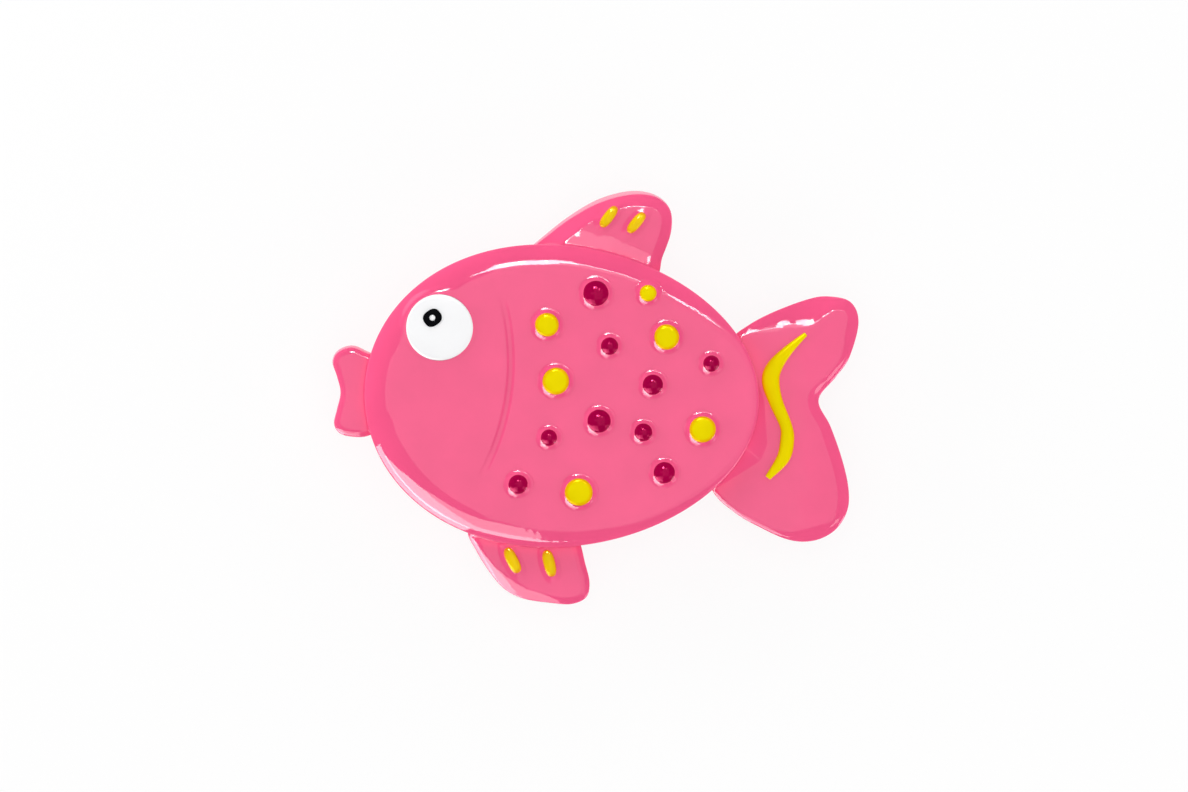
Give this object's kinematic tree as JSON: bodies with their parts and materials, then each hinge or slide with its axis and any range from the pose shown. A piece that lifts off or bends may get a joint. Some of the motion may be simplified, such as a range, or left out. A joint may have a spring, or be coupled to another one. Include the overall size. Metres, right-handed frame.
{
  "type": "squeaky bath toy",
  "caption": "Soft fish-shaped bath toy with a flat back, raised spots, stripe and eye, and a reed squeaker in its back that sounds when the front is pressed.",
  "frame": {"origin": "middle of the toy's outline on the plane of its flat back", "axes": "+Z from the flat back out of the decorated front, +X towards the tail, +Y towards the dorsal fin"},
  "size_m": [0.1298, 0.102, 0.0226],
  "materials": {
    "pink_vinyl": "glossy soft PVC",
    "yellow_vinyl": "glossy soft PVC",
    "red_vinyl": "glossy soft PVC",
    "white_vinyl": "glossy soft PVC",
    "black_vinyl": "glossy soft PVC",
    "squeaker_plastic": "satin moulded polyethylene",
    "reed_film": "thin film"
  },
  "bodies": {
    "back": {"back_shell": "pink_vinyl", "tail_stripe": "yellow_vinyl", "dorsal_mark_1": "yellow_vinyl", "dorsal_mark_2": "yellow_vinyl", "belly_mark_1": "yellow_vinyl", "belly_mark_2": "yellow_vinyl", "squeaker_body": "squeaker_plastic", "reed_holder": "squeaker_plastic", "reed_clip": "squeaker_plastic", "squeaker_cap": "squeaker_plastic"},
    "front": {"front_shell": "pink_vinyl", "eye_white": "white_vinyl", "eye_pupil": "black_vinyl", "eye_glint": "white_vinyl", "yellow_spot_1": "yellow_vinyl", "yellow_spot_2": "yellow_vinyl", "yellow_spot_3": "yellow_vinyl", "yellow_spot_4": "yellow_vinyl", "yellow_spot_5": "yellow_vinyl", "yellow_spot_6": "yellow_vinyl", "red_spot_1": "red_vinyl", "red_spot_2": "red_vinyl", "red_spot_3": "red_vinyl", "red_spot_4": "red_vinyl", "red_spot_5": "red_vinyl", "red_spot_6": "red_vinyl", "red_spot_7": "red_vinyl", "red_spot_8": "red_vinyl", "red_spot_9": "red_vinyl"},
    "reed": {"squeaker_reed": "reed_film"}
  },
  "joints": [
    {"name": "squeeze", "type": "slide", "parent": "back", "child": "front", "axis": [0, 0, -1], "range_m": [0, 0.004], "stiffness_N_per_m": 4000, "deforming": ["front_shell"]},
    {"name": "reed_flutter", "type": "hinge", "parent": "back", "child": "reed", "pos_m": [-0.0074, 0.0003, 0.0037], "axis": [0, 1, 0], "range_deg": [-1, 6], "stiffness_Nm_per_rad": 0.003}
  ]
}
